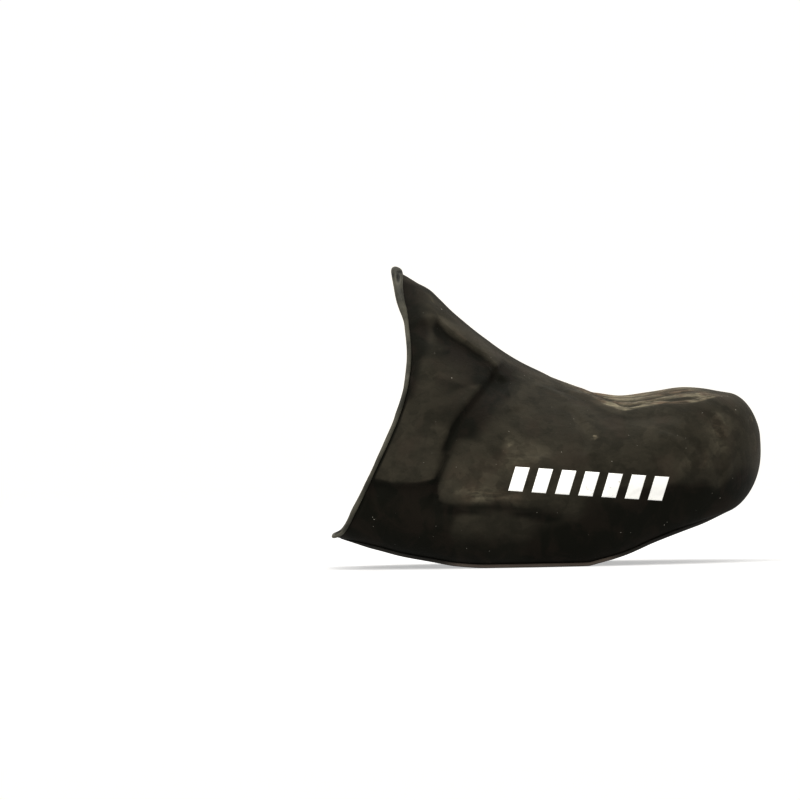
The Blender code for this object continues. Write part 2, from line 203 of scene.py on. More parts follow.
# Dust, rubbed places and painted light, in the same columns: above 0 is pale dust, with a few painted highlights;
# below 0 is darker, mostly painted shade in hollows, creases and where the side turns under.
MARKS = (
    # The dusty top of the toe box, down to its edge
    Fold("outer", ((10, 68.5), (17.1, 66), (20.8, 63), (26, 60.3), (32.4, 58.8), (37.9, 59.9), (45.6, 60.9),
                   (57.3, 61.1), (65.8, 63), (74, 64.5)), 0.62, 26.0, 0.0, 3.0, 1.4),
    Fold("top", ((-4, 2), (16, 4), (40, 6), (66, 6)), 0.30, 14.0, 0.30, 8.0, 4.0),
    # The dark crest of the instep, the dusty fold below it, and painted shade in the hollow under that
    Fold("top", ((-64, 5), (-48, 6), (-30, 7), (-12, 8), (6, 9)), -0.55, 10.0, -0.70, 8.0, 4.0),
    Fold("outer", ((-46, 104), (-38.5, 95), (-30.1, 87), (-22.9, 81.8), (-17.5, 77), (-8, 73), (4, 69.5)),
         0.28, 6.0, 0.0, 4.0, 1.6),
    Fold("outer", ((-41, 98), (-37.2, 92.4), (-30.1, 87), (-22.9, 81.8), (-19.2, 78.0), (-15, 72), (-12, 64)),
         0.0, 4.0, -0.95, 11.0, 1.4),
    Fold("outer", ((-38, 86), (-30, 76), (-26, 70)), -0.50, 11.0, -0.50, 11.0, 4.0),
    # Painted shade on the slope ahead of the slanted edge
    Fold("outer", ((-15, 80), (-18.6, 76), (-23.7, 69.4), (-28.7, 63.3), (-33.7, 57.2), (-38.6, 49.2), (-41, 44)),
         -0.90, 5.0, 0.0, 3.0, 1.2),
    Fold("outer", ((-10, 80), (-15, 72), (-20, 65), (-26, 58), (-33, 49)), -0.75, 7.0, -0.75, 7.0, 4.0),
    Fold("outer", ((-37.5, 45), (-40, 39), (-43, 32)), -0.50, 1.8, -0.50, 1.8, 1.6),
    Fold("outer", ((-34, 72), (-37, 64), (-42, 54)), -0.40, 11.0, -0.40, 11.0, 4.0),
    # Where the side turns under: painted shade below the turn, darker towards the bottom
    Fold("outer", ((-72, 33), (-62.8, 33.3), (-58.1, 31.9), (-47.8, 32.4), (-42.5, 33.5)), 0.0, 3.0, -0.80, 9.0, 1.4),
    Fold("outer", ((-74, 22), (-58, 22), (-44, 22), (-34, 18)), -0.50, 8.0, -0.50, 8.0, 4.0),
    Fold("outer", ((-43, 31), (-40.6, 25.4), (-34.3, 23.3), (-17.3, 23.8), (-7, 21.4), (8, 19.3)),
         0.15, 5.0, -0.12, 7.0, 2.4),
    Fold("outer", ((-44, 12), (-30, 12), (-14, 12)), 0.12, 7.0, 0.12, 7.0, 4.0),
    Fold("outer", ((-80, 14), (-62, 11), (-50, 10), (-34, 9)), -0.45, 8.0, -0.45, 8.0, 4.0),
    # A darker patch on the flank ahead of the instep
    Fold("outer", ((-8, 68), (2, 62), (8, 55), (8, 46)), -0.35, 8.0, -0.35, 8.0, 4.0),
    Fold("outer", ((-10, 8), (6, 9), (22, 11), (40, 15), (60, 20), (74, 27), (82, 36)), -0.85, 9.0, -0.85, 9.0, 4.0),
    Fold("outer", ((12, 24), (30, 23), (50, 24), (66, 28)), -0.55, 7.0, -0.55, 7.0, 4.0),
    # Painted shade in the channel beside the rolled rim, and pale pleats and smudges
    Fold("outer", ((-55, 114), (-52, 101), (-50.0, 88), (-51, 76), (-55, 62)), -0.95, 3.6, -0.95, 3.6, 3.0),
    Fold("outer", ((-52, 112), (-48, 104), (-47, 92), (-48, 80)), -0.55, 6.0, -0.55, 6.0, 3.0),
    Fold("outer", ((-43, 99), (-42.3, 86)), 0.42, 2.4, 0.42, 2.4, 1.0),
    Fold("outer", ((-36.7, 28.5), (-24, 28.5), (-7.5, 27)), 0.24, 3.4, 0.24, 3.4, 3.0),
    Fold("outer", ((-42, 38), (-28, 34), (-14, 40), (-4, 52)), 0.24, 10.0, 0.24, 10.0, 4.0),
    Fold("outer", ((-18, 44), (-8, 42), (4, 44)), 0.16, 6.0, 0.16, 6.0, 4.0),
    Fold("outer", ((-15.6, 50.3), (-13, 47)), 0.20, 2.0, 0.20, 2.0, 2.0),
    Fold("outer", ((10, 58), (16, 53), (19.5, 48)), 0.34, 4.2, 0.34, 3.0, 2.0),
    Fold("outer", ((28, 52), (36, 55), (44, 52)), 0.18, 3.6, 0.18, 3.6, 2.0),
    Fold("outer", ((52, 54), (62, 52), (68, 54)), 0.15, 4.0, 0.15, 4.0, 2.0),
    Fold("outer", ((71, 60), (69, 46), (69, 32), (66, 24)), 0.36, 7.0, 0.36, 7.0, 4.0),
    Fold("outer", ((44, 38), (56, 36), (66, 40)), 0.18, 8.0, 0.18, 8.0, 4.0),
    # Painted shade in the wrinkles of the toe box, below its edge and over the toes
    Fold("outer", ((18.6, 67.2), (25, 64), (32.4, 61.2), (37.9, 61.9), (47, 63.2), (61, 64)), -0.9, 0.9, -0.9, 0.9, 0.8),
    Fold("outer", ((2, 70), (10, 67.2), (18, 63), (25, 59), (33, 57), (46, 59)), 0.0, 1.0, -0.45, 5.0, 2.0),
    Fold("top", ((14, -2), (24, -6), (36, -9), (48, -7), (60, -3)), -0.7, 1.0, -0.7, 1.0, 0.8),
    Fold("top", ((20, 3), (32, 0), (46, 0), (58, 3)), -0.6, 1.0, -0.6, 1.0, 0.8),
    Fold("outer", ((54, 42), (61, 36)), 0.16, 6.0, 0.16, 6.0, 3.0),
    # Painted highlight along the front edge of the nose
    Fold("outer", ((80, 57), (82, 50), (82.5, 42)), 0.20, 2.4, 0.20, 2.4, 2.0),
    Fold("outer", ((80.6, 57), (81.8, 54.6)), 0.60, 1.2, 0.60, 1.2, 1.0),
    Fold("outer", ((-43.4, 106.2), (-41.5, 102.4)), 0.65, 1.3, 0.65, 1.3, 1.0),
    Fold("outer", ((19.0, 50.0), (20.2, 48.6)), 0.65, 1.0, 0.65, 1.0, 1.0),
    Fold("outer", ((-14.0, 80.0), (-11.0, 78.6)), 0.45, 1.6, 0.45, 1.6, 1.0),
    # The inner side
    Fold("inner", ((64, 60), (48, 59), (34, 58), (20, 62)), 0.0, 3.0, 0.22, 16.0, 4.0),
    Fold("inner", ((60, 46), (40, 50), (20, 52)), 0.12, 8.0, 0.12, 8.0, 4.0),
    # Painted shade along the low inner side, and in the trough behind the inner fold
    Fold("inner", ((56, 15), (10, 9), (-30, 9), (-70, 14)), -0.65, 9.0, -0.65, 9.0, 3.0),
    Fold("inner", ((-20, 72), (-28, 60), (-34, 48), (-38, 34)), 0.0, 3.0, -0.70, 6.0, 2.0),
)
RIM_SHADE_WIDTH = 1.6 * MM   # width of the painted shade line in the skin along its rolled edge


def follow(table, column, at):
    """Column of a table read on a smooth curve that never overshoots a row, at places of its first column."""
    places = np.array([row[0] for row in table])
    values = np.array([getattr(row, column) for row in table])
    gaps = np.diff(places)
    secants = np.diff(values) / gaps
    before, after = secants[:-1], secants[1:]
    same_way = before * after > 0
    total = np.where(same_way, before + after, 1)
    slopes = np.concatenate((secants[:1], np.where(same_way, 2 * before * after / total, 0), secants[-1:]))
    at = np.clip(at, places[0], places[-1])
    left = np.clip(np.searchsorted(places, at, side="right") - 1, 0, len(gaps) - 1)
    t = (at - places[left]) / gaps[left]
    return ((1 + 2 * t) * (1 - t) ** 2 * values[left] + t * (1 - t) ** 2 * gaps[left] * slopes[left]
            + t * t * (3 - 2 * t) * values[left + 1] + t * t * (t - 1) * gaps[left] * slopes[left + 1])


def smooth(low, high, value):
    t = np.clip((value - low) / (high - low), 0, 1)
    return t * t * (3 - 2 * t)


def rounding(along, reach):
    """1 where the toe is still full, falling to 0 at the tip as a quarter oval of the given length."""
    inside = np.clip(1 + (along - 1) * FORM_LENGTH / reach, 0, 1)
    return (1 - inside ** NOSE_FULLNESS) ** (1 / NOSE_FULLNESS)


def spine(step):
    """Share of the length for an even step from 0 to 1, with the steps closing up round the nose."""
    zone = NOSE_ROUND_UNDER / FORM_LENGTH
    straight = (1 - zone) / (1 - zone + zone * math.pi / 2)
    turn = np.clip((step - straight) / (1 - straight), 0, 1) * math.pi / 2
    return np.where(step < straight, step / straight * (1 - zone), 1 - zone + zone * np.sin(turn))


def underside(along):
    rise = ARCH_RISE * follow(SIDE_VIEW, "arch", along) + TOE_SPRING * follow(SIDE_VIEW, "spring", along)
    return NOSE_HEIGHT + (SOLE_STACK + rise - NOSE_HEIGHT) * rounding(along, NOSE_ROUND_UNDER)


def crest(along):
    height = ((INSTEP_HEIGHT - TOE_HEIGHT) * follow(SIDE_VIEW, "rise", along)
              + TOE_HEIGHT * follow(SIDE_VIEW, "toe", along))
    return NOSE_HEIGHT + (height - NOSE_HEIGHT) * rounding(along, NOSE_ROUND_TOP)


def bezier(start, first, second, end, t):
    return (start * (1 - t) ** 3 + first * 3 * t * (1 - t) ** 2
            + second * 3 * t * t * (1 - t) + end * t ** 3)


def surface(along, side, arc, t):
    """Points of the smooth outer form. side is -1 or 1; arc is 0 under the foot, 1 at the turn, 2 above it."""
    closing = rounding(along, NOSE_ROUND_PLAN)
    low, high = underside(along), crest(along)
    middle = BALL_WIDTH * follow(PLAN_VIEW, "middle", along)
    is_outer = side < 0
    reach = BALL_WIDTH * closing * np.where(is_outer, follow(PLAN_VIEW, "outer", along),
                                            follow(PLAN_VIEW, "inner", along))
    widest = low + (high - low) * follow(CROSS_SECTIONS, "widest", along)
    level = reach * follow(CROSS_SECTIONS, "level", along)
    top = middle + (BALL_WIDTH * follow(PLAN_VIEW, "crest", along) - middle) * closing
    wall = np.where(is_outer, follow(CROSS_SECTIONS, "wall_outer", along),
                    follow(CROSS_SECTIONS, "wall_inner", along))
    crown = np.where(is_outer, follow(CROSS_SECTIONS, "crown_outer", along),
                     follow(CROSS_SECTIONS, "crown_inner", along))
    edge, flank = middle + side * level, middle + side * reach
    turn_y = bezier(edge, edge + side * (reach - level) * CORNER_HANDLE, flank, flank, t)
    turn_z = bezier(low, low, widest + (low - widest) * CORNER_HANDLE, widest, t)
    side_y = bezier(flank, flank, top + (flank - top) * crown, top, t)
    side_z = bezier(widest, widest + (high - widest) * wall, high, high, t)
    y = np.select((arc == 0, arc == 1), (middle + side * level * t, turn_y), side_y)
    z = np.select((arc == 0, arc == 1), (low, turn_z), side_z)
    x = np.broadcast_to(TOE_X - (1 - along) * FORM_LENGTH, y.shape)
    return np.stack((x, y, z), axis=-1)


def round_the_foot(columns):
    """Side, arc and place on it for each column: under the foot, up the outer side, over and down."""
    rows = []
    for side, arcs in ((-1, ("flat", "corner", "side")), (1, ("side", "corner", "flat"))):
        for name in arcs:
            count = columns[name]
            places = [step / count for step in range(count)]
            code = ("flat", "corner", "side").index(name)
            rows += [(side, code, place if side < 0 else 1 - place) for place in places]
    return [np.array(column) for column in zip(*rows)]


def collar_steps(side, arc, t):
    """Step of the spine where the collar cuts each line that runs along the foot."""
    low, high = np.zeros(len(t)), np.full(len(t), 0.5)
    for _ in range(40):
        step = (low + high) / 2
        along = spine(step)
        height = surface(along, side, arc, t)[:, 2] / INSTEP_HEIGHT
        behind = along < follow(COLLAR_LINE, "along", height)
        low, high = np.where(behind, step, low), np.where(behind, high, step)
    return step


def landing(seen, first, second):
    """Point of the smooth form under a place seen from a side or from the top, in metres."""
    along = np.full(60, 1 - (TOE_X - first) / FORM_LENGTH)
    rise, kind = np.linspace(0, 1, 60), np.full(60, 2)
    if seen == "top":
        outer, inner = surface(along, np.full(60, -1), kind, rise), surface(along, np.full(60, 1), kind, rise)
        line, axis = np.concatenate((outer, inner[-2::-1])), 1
    else:
        side = np.full(60, -1 if seen == "outer" else 1)
        turn, wall = surface(along, side, np.full(60, 1), rise), surface(along, side, kind, rise)
        line, axis = np.concatenate((turn, wall[1:])), 2
    return np.array([np.interp(second, line[:, axis], line[:, each]) for each in range(3)])


def along_path(points, outwards, seen, path, reach):
    """For points near a path: which they are, their signed gap from it (left is above 0), and a fade."""
    stops = np.array(path, float) * MM
    places = np.linspace(0, len(stops) - 1, 6 * len(stops))
    line = np.array([landing(seen, bend(stops[:, 0], place), bend(stops[:, 1], place)) for place in places])
    low, high = line.min(axis=0) - reach, line.max(axis=0) + reach
    near = ((points > low) & (points < high)).all(axis=-1)
    close, facing = points[near], outwards[near]
    best, sign, fade = np.full(len(close), 1e9), np.ones(len(close)), np.zeros(len(close))
    for index in range(len(line) - 1):
        start, run = line[index], line[index + 1] - line[index]
        t = np.clip(((close - start) @ run) / max(run @ run, 1e-12), 0, 1)
        away = close - start - t[:, None] * run
        gap = np.linalg.norm(away, axis=1)
        share = (index + t) / (len(line) - 1)
        better = gap < best
        best = np.where(better, gap, best)
        sign = np.where(better, np.sign((np.cross(facing, run) * away).sum(1)), sign)
        fade = np.where(better, smooth(0, 0.14, share) * smooth(0, 0.14, 1 - share), fade)
    return near, best * sign, fade


def raised(points, outwards, row):
    """What one row of a table adds at each point, fading at both ends of its path."""
    near, gap, fade = along_path(points, outwards, row.seen, row.path,
                                 2.4 * MM * max(row.left_reach, row.right_reach))
    left = smooth(-row.edge * MM / 2, row.edge * MM / 2, gap)
    added = np.zeros(points.shape[:-1])
    added[near] = fade * (left * row.left * np.exp(-(gap / row.left_reach / MM) ** 2)
                          + (1 - left) * row.right * np.exp(-(gap / row.right_reach / MM) ** 2))
    return added


def bend(stops, place):
    """Value on a smooth curve through evenly numbered stops."""
    index = min(int(place), len(stops) - 2)
    t = place - index
    before = stops[max(index - 1, 0)]
    after = stops[min(index + 2, len(stops) - 1)]
    start, end = stops[index], stops[index + 1]
    return 0.5 * (2 * start + (end - before) * t + (2 * before - 5 * start + 4 * end - after) * t * t
                  + (3 * start - before - 3 * end + after) * t ** 3)


def outward(points):
    """Unit normals of a grid of points that closes on itself along its second axis."""
    forward = np.gradient(points, axis=0)
    sideways = np.roll(points, -1, axis=1) - np.roll(points, 1, axis=1)
    normals = np.cross(forward, sideways)
    return normals / np.maximum(np.linalg.norm(normals, axis=-1, keepdims=True), 1e-12)


def dents(points):
    """Small hollows and swells of rubber that has been handled, the same each time."""
    flat = points.reshape(-1, 3)
    total = np.zeros(len(flat))
    for size, depth in DENTS:
        total += depth * np.array([noise.noise(Vector(point) / size) for point in flat])
    return total.reshape(points.shape[:-1])


side, arc, t = round_the_foot(ARC_COLUMNS)
starts = collar_steps(side, arc, t)
ring_share = (np.arange(RINGS) / RINGS)[:, None]
steps = starts + (1 - starts) * ring_share
smooth_form = surface(spine(steps), side, arc, t)
normals = outward(smooth_form)
relief = MM * sum(raised(smooth_form, normals, row) for row in FOLDS)
# Dust, painted shade and painted highlights from the marks
dust_and_painted_light_marks = sum(raised(smooth_form, normals, row) for row in MARKS)
from_rim = np.concatenate((np.zeros((1, len(t))), np.cumsum(np.linalg.norm(np.diff(smooth_form, axis=0), axis=-1),
                                                            axis=0)))
# A painted shade line in the skin along the rolled edge
dust_and_painted_light_marks = dust_and_painted_light_marks - 1.3 * (1 - smooth(0.3 * RIM_SHADE_WIDTH, RIM_SHADE_WIDTH, from_rim))
above_sole = smooth(4 * MM, 12 * MM, smooth_form[..., 2] - underside(spine(steps)))
nose_fade = 1 - smooth(0.97, 1.0, ring_share)
relief = (relief + dents(smooth_form)) * above_sole * nose_fade
skin = smooth_form + normals * relief[..., None]


def outline(inset, count=160):
    """Outline of the sole panel, or of a smaller one inside it, as an array of (x, y)."""
    rear, front = sole_low[0] + inset, sole_high[0] - inset
    x = rear + (front - rear) * (1 - np.cos(np.pi * np.arange(count + 1) / count)) / 2
    along = 1 - (TOE_X - x) / FORM_LENGTH
    to_front = np.minimum(1, (front - x) / SOLE_ROUND_TOE)
    to_rear = np.minimum(1, (x - rear) / SOLE_ROUND_REAR)
    ends = np.sqrt(np.maximum(0, 1 - (1 - to_front) ** 2)) * np.maximum(0, 1 - (1 - to_rear) ** 4) ** 0.25
    level = BALL_WIDTH * rounding(along, NOSE_ROUND_PLAN) * follow(CROSS_SECTIONS, "level", along)
    middle = BALL_WIDTH * follow(PLAN_VIEW, "middle", along)
    reach = [(level * follow(PLAN_VIEW, name, along) + SOLE_LIP - inset) * ends for name in ("outer", "inner")]
    outer, inner = middle - reach[0], middle + reach[1]
    return np.concatenate((np.stack((x, outer), 1), np.stack((x, inner), 1)[-2:0:-1]))


SOLE_LIP = 1.5 * MM
SOLE_ROUND_TOE = 24.0 * MM
SOLE_ROUND_REAR = 9.0 * MM


def add_piece(name, mesh):
    piece = bpy.data.objects.new(name, mesh)
    bpy.context.scene.collection.objects.link(piece)
    for polygon in mesh.polygons:
        polygon.use_smooth = True
    return piece


def inside_loop(loop, points):
    """Whether each (x, y) lies inside a closed loop."""
    inside = np.zeros(len(points), bool)
    for (x0, y0), (x1, y1) in zip(loop, np.roll(loop, -1, axis=0)):
        spans = (y0 > points[:, 1]) != (y1 > points[:, 1])
        run = np.where(y1 == y0, 1e-12, y1 - y0)
        inside ^= spans & (points[:, 0] < (x1 - x0) * (points[:, 1] - y0) / run + x0)
    return inside


def make_upper_mesh():
    """The skin's outer face, without the patch over the sole panel, and its tip closed by a fan."""
    columns = len(t)
    vertices = np.concatenate((skin.reshape(-1, 3), [[TOE_X, BALL_WIDTH * PLAN_VIEW[-1].middle, NOSE_HEIGHT]]))
    opening = outline(LAP)
    low_part = np.concatenate((np.tile(arc == 0, RINGS), [False]))
    open_vertex = low_part & inside_loop(opening, vertices[:, :2])
    faces = []
    for ring in range(RINGS):
        for column in range(columns):
            beside = (column + 1) % columns
            here, near = ring * columns + column, ring * columns + beside
            if ring == RINGS - 1:
                faces.append((here, len(vertices) - 1, near))
            elif not (open_vertex[here] or open_vertex[near] or open_vertex[here + columns]
                      or open_vertex[near + columns]):
                faces.append((here, here + columns, near + columns, near))
    mesh = bpy.data.meshes.new("upper_skin")
    mesh.from_pydata(vertices.tolist(), [], faces)
    for name, values in (("relief", relief), ("dust_and_painted_light", dust_and_painted_light_marks)):
        layer = mesh.attributes.new(name, "FLOAT", "POINT")
        layer.data.foreach_set("value", np.concatenate((values.ravel(), [0])).astype(np.float32))
    shape = bmesh.new()
    shape.from_mesh(mesh)
    bmesh.ops.delete(shape, geom=[vertex for vertex in shape.verts if not vertex.link_faces], context="VERTS")
    loop = np.concatenate((opening, opening[:1]))
    for vertex in shape.verts:
        place = np.array(vertex.co[:2])
        nearby = np.linalg.norm(opening - place, axis=1).min() < LAP / 2
        if vertex.is_boundary and nearby and vertex.co.z < TOE_SPRING:
            start, run = loop[:-1], np.diff(loop, axis=0)
            share = np.clip(((place - start) * run).sum(1) / np.maximum((run * run).sum(1), 1e-12), 0, 1)
            feet = start + share[:, None] * run
            vertex.co.xy = feet[np.argmin(np.linalg.norm(feet - place, axis=1))]
    shape.to_mesh(mesh)
    shape.free()
    return mesh


upper = add_piece("upper_skin", make_upper_mesh())
wall = upper.modifiers.new("wall", "SOLIDIFY")
wall.thickness = WALL
wall.offset = -1
wall.use_even_offset = True


class Signal:
    """A shader value that goes into expressions, so that 1 - mask adds the node that works it out."""

    def __init__(self, tree, socket):
        self.tree = tree
        self.socket = socket

    def math(self, operation, *values):
        node = self.tree.nodes.new("ShaderNodeMath")
        node.operation = operation
        for socket, value in zip(node.inputs, values):
            connect(self.tree, socket, value)
        return Signal(self.tree, node.outputs[0])

    def __add__(self, other):
        return self.math("ADD", self, other)

    def __sub__(self, other):
        return self.math("SUBTRACT", self, other)

    def __rsub__(self, other):
        return self.math("SUBTRACT", other, self)

    def __mul__(self, other):
        return self.math("MULTIPLY", self, other)

    def __truediv__(self, other):
        return self.math("DIVIDE", self, other)

    def __pow__(self, other):
        return self.math("POWER", self, other)

    __radd__ = __add__
    __rmul__ = __mul__

    def at_least(self, other):
        return self.math("MAXIMUM", self, other)

    def size(self):
        return self.math("ABSOLUTE", self)

    def between(self, low, high):
        """0 below low, 1 above high and a smooth rise between them; low may be the larger one."""
        node = self.tree.nodes.new("ShaderNodeMapRange")
        node.interpolation_type = "SMOOTHSTEP"
        for name, value in (("Value", self), ("From Min", low), ("From Max", high)):
            connect(self.tree, node.inputs[name], value)
        return Signal(self.tree, node.outputs["Result"])


def connect(tree, socket, value):
    if isinstance(value, Signal):
        tree.links.new(value.socket, socket)
    else:
        socket.default_value = value


class Finish:
    """One material: its node tree, its shader, and short ways to add nodes to them."""

    def __init__(self, name, **constants):
        self.material = bpy.data.materials.new(name)
        self.material.use_nodes = True
        self.tree = self.material.node_tree
        self.shader = self.tree.nodes["Principled BSDF"]
        for socket, value in constants.items():
            self.shader.inputs[socket.replace("_", " ")].default_value = value

    def node(self, kind, settings=None, output=0, **values):
        made = self.tree.nodes.new("ShaderNode" + kind)
        for name, setting in (settings or {}).items():
            setattr(made, name, setting)
        for name, value in values.items():
            connect(self.tree, made.inputs[name.replace("_", " ")], value)
        return Signal(self.tree, made.outputs[output])

    def place(self):
        """Position on the piece, in metres."""
        return self.node("TexCoord", output="Object")

    def axis(self, name, vector):
        return self.node("SeparateXYZ", output=name, Vector=vector)

    def facing(self, name):
        return self.axis(name, self.node("NewGeometry", output="Normal"))

    def grain(self, size, vector=None, detail=3.0, roughness=0.55, stretch=(1, 1, 1), smear=0.0):
        """Noise from 0 to 1 whose lumps are about size metres long, longer along a stretched axis."""
        where = vector or self.place()
        squeezed = self.node("VectorMath", {"operation": "MULTIPLY"}, output="Vector")
        connect(self.tree, squeezed.socket.node.inputs[0], where)
        connect(self.tree, squeezed.socket.node.inputs[1], [1 / (size * share) for share in stretch])
        return self.node("TexNoise", output="Fac", Vector=squeezed, Scale=1.0, Detail=detail, Roughness=roughness,
                         Distortion=smear)

    def smudges(self, size, wander):
        """Flat-toned smudges from 0 to 1, about size metres across, with wandering edges."""
        shift = self.node("TexNoise", output="Color", Vector=self.place(), Scale=1 / size, Detail=3.0)
        moved = self.node("VectorMath", {"operation": "MULTIPLY_ADD"}, output="Vector")
        connect(self.tree, moved.socket.node.inputs[0], shift)
        connect(self.tree, moved.socket.node.inputs[1], (wander, wander, wander))
        connect(self.tree, moved.socket.node.inputs[2], self.place())
        cells = self.node("TexVoronoi", {"feature": "SMOOTH_F1"}, output="Color", Vector=moved, Scale=1 / size,
                          Smoothness=0.25)
        return self.axis("X", cells)

    def mix(self, amount, under, over):
        made = self.tree.nodes.new("ShaderNodeMix")
        made.data_type = "RGBA"
        connect(self.tree, made.inputs[0], amount)
        connect(self.tree, made.inputs[6], under)
        connect(self.tree, made.inputs[7], over)
        return Signal(self.tree, made.outputs[2])

    def patch(self, centre, radii):
        """Soft spot from 1 in its middle to 0 at its rim, seen from the side: forward and up, in metres."""
        where = self.place()
        across = (self.axis("X", where) - centre[0]) / radii[0]
        up = (self.axis("Z", where) - centre[1]) / radii[1]
        return (across * across + up * up).between(1.0, 0.0)

    def bump(self, *layers):
        """Bump from pairs of a height signal and its depth in metres, one over the other."""
        normal = None
        for height, depth in layers:
            made = self.tree.nodes.new("ShaderNodeBump")
            made.inputs["Distance"].default_value = depth
            made.inputs["Strength"].default_value = 1.0
            connect(self.tree, made.inputs["Height"], height)
            if normal:
                self.tree.links.new(normal, made.inputs["Normal"])
            normal = made.outputs["Normal"]
        self.tree.links.new(normal, self.shader.inputs["Normal"])

    def paint(self, **sockets):
        for name, value in sockets.items():
            connect(self.tree, self.shader.inputs[name.replace("_", " ")], value)

    def dress(self, piece):
        piece.data.materials.clear()
        piece.data.materials.append(self.material)


BLACK_RUBBER = (0.028, 0.0262, 0.0190, 1)
WORN_RUBBER = (0.053, 0.0478, 0.0355, 1)
BROWN_RUBBER = (0.052, 0.0405, 0.0310, 1)
KHAKI_DUST = (0.235, 0.212, 0.158, 1)
BROWN_DUST = (0.165, 0.128, 0.094, 1)
PALE_SCUFF = (0.50, 0.48, 0.43, 1)
DEEP_GREEN = (0.0065, 0.0070, 0.0042, 1)
DEEP_BROWN = (0.0150, 0.0118, 0.0082, 1)

rubber = Finish("dusty_black_rubber", Metallic=0.0, Specular_IOR_Level=0.15, Specular_Tint=(1.0, 0.94, 0.82, 1))
fold = rubber.node("Attribute", {"attribute_name": "relief"}, output="Fac") / MM
marks = rubber.node("Attribute", {"attribute_name": "dust_and_painted_light"}, output="Fac")
clouds = rubber.grain(26 * MM, detail=3.0, smear=0.6)
smears = rubber.grain(9 * MM, detail=4.0, roughness=0.6, stretch=(1.5, 1, 0.8), smear=1.2)
mottle = rubber.grain(3.2 * MM, detail=4.0, roughness=0.65, stretch=(1.3, 1, 1), smear=0.8)
smudge = rubber.smudges(8 * MM, 12 * MM) * 0.5 + rubber.smudges(4 * MM, 6 * MM) * 0.5
streaks = rubber.grain(1.5 * MM, detail=4.0, roughness=0.65, stretch=(4.5, 1.3, 1), smear=0.5)
tone = clouds * 0.22 + smears * 0.24 + mottle * 0.24 + smudge * 0.20 + streaks * 0.10
up = rubber.facing("Z")
top_dust = up.between(0.78, 1.0) * (0.05 + tone.between(0.42, 0.60) * 0.16)
heavy = marks.between(0.25, 0.60)
# Pale dust, and the painted highlights among the marks above 0
dust_and_painted_light = (marks.at_least(0.0) * (0.45 + smudge * 0.55 - heavy * 0.35 + heavy * streaks.between(0.36, 0.64) * 0.75)
        + top_dust
        + fold.between(0.5, 1.6) * smears.between(0.35, 0.60) * 0.10)
# Painted shade, with some clean black rubber: darker in the marks below 0, in the troughs of the folds and on faces
# turned down
clean_and_painted_shade = (0.0 - marks).at_least(0.0) + fold.between(-0.4, -1.8) * 0.35 + up.between(0.1, -0.45) * 0.75
specks = rubber.grain(1.2 * MM, detail=1.0).between(0.77, 0.80) * smears.between(0.48, 0.56)
colour = rubber.mix(tone.between(0.34, 0.64), BLACK_RUBBER, WORN_RUBBER)
colour = rubber.mix(rubber.grain(13 * MM, detail=2.0).between(0.50, 0.70) * 0.4, colour, BROWN_RUBBER)
dust_colour = rubber.mix(rubber.grain(8 * MM, detail=3.0).between(0.42, 0.60), KHAKI_DUST, BROWN_DUST)
colour = rubber.mix(dust_and_painted_light.between(0.0, 1.0), colour, dust_colour)
# The greenish and brownish black of the painted shade
deep = rubber.mix(rubber.grain(11 * MM, detail=4.0, smear=0.8).between(0.42, 0.62), DEEP_GREEN, DEEP_BROWN)
colour = rubber.mix(clean_and_painted_shade.between(0.0, 1.0), colour, deep)
colour = rubber.mix(specks * 0.6, colour, PALE_SCUFF)
rubber.paint(Base_Color=colour, Roughness=0.52 + mottle * 0.16 + dust_and_painted_light * 0.2)
wrinkles = (rubber.grain(7 * MM, detail=3.0, smear=0.8) - 0.5).size().between(0.0, 0.05)
rubber.bump((rubber.grain(0.4 * MM, detail=2.0), 0.025 * MM), (mottle, 0.08 * MM), (wrinkles, 0.03 * MM),
            (streaks * up.between(0.6, 0.98), 0.14 * MM))
rubber.dress(upper)
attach(upper, "root")
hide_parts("upper")

# The sole panel
# A flat cut sheet of thicker, plainer rubber, bonded under the upper's margin. Its rounded edge shows as a
# brown-grey line along the bottom, and its oval opening lets the cleat through.

SOLE_BOND = 0.05 * MM
EDGE_ROUND = 0.45 * MM
CLEAT_LENGTH = 38.0 * MM
CLEAT_WIDTH = 36.0 * MM
CLEAT_X = TOE_X - 95.5 * MM
SOLE_TURNS = 300
SOLE_BANDS = 44
EDGE_STEPS = 6
SKIVE_LENGTH = 14.0 * MM   # the panel is thinned towards its two ends
SKIVED = 0.25


def sole_loops():
    """The outline and the cleat opening as loops of points at the same angles, seen from above."""
    cleat_y = BALL_WIDTH * float(follow(PLAN_VIEW, "middle", np.array(1 - (TOE_X - CLEAT_X) / FORM_LENGTH)))
    centre = np.array((CLEAT_X, cleat_y))
    loop = outline(0, 400) - centre
    angles = np.unwrap(np.arctan2(loop[:, 1], loop[:, 0]))
    if angles[-1] < angles[0]:
        loop, angles = loop[::-1], angles[::-1]
    run = np.concatenate(([0], np.cumsum(np.linalg.norm(np.diff(loop, axis=0), axis=1))))
    even = np.linspace(0, run[-1], SOLE_TURNS, endpoint=False)
    far = np.stack([np.interp(even, run, loop[:, axis]) for axis in (0, 1)], 1)
    turns = np.interp(even, run, angles)
    near = np.stack((np.cos(turns) * CLEAT_LENGTH / 2, np.sin(turns) * CLEAT_WIDTH / 2), 1)
    return far + centre, near + centre


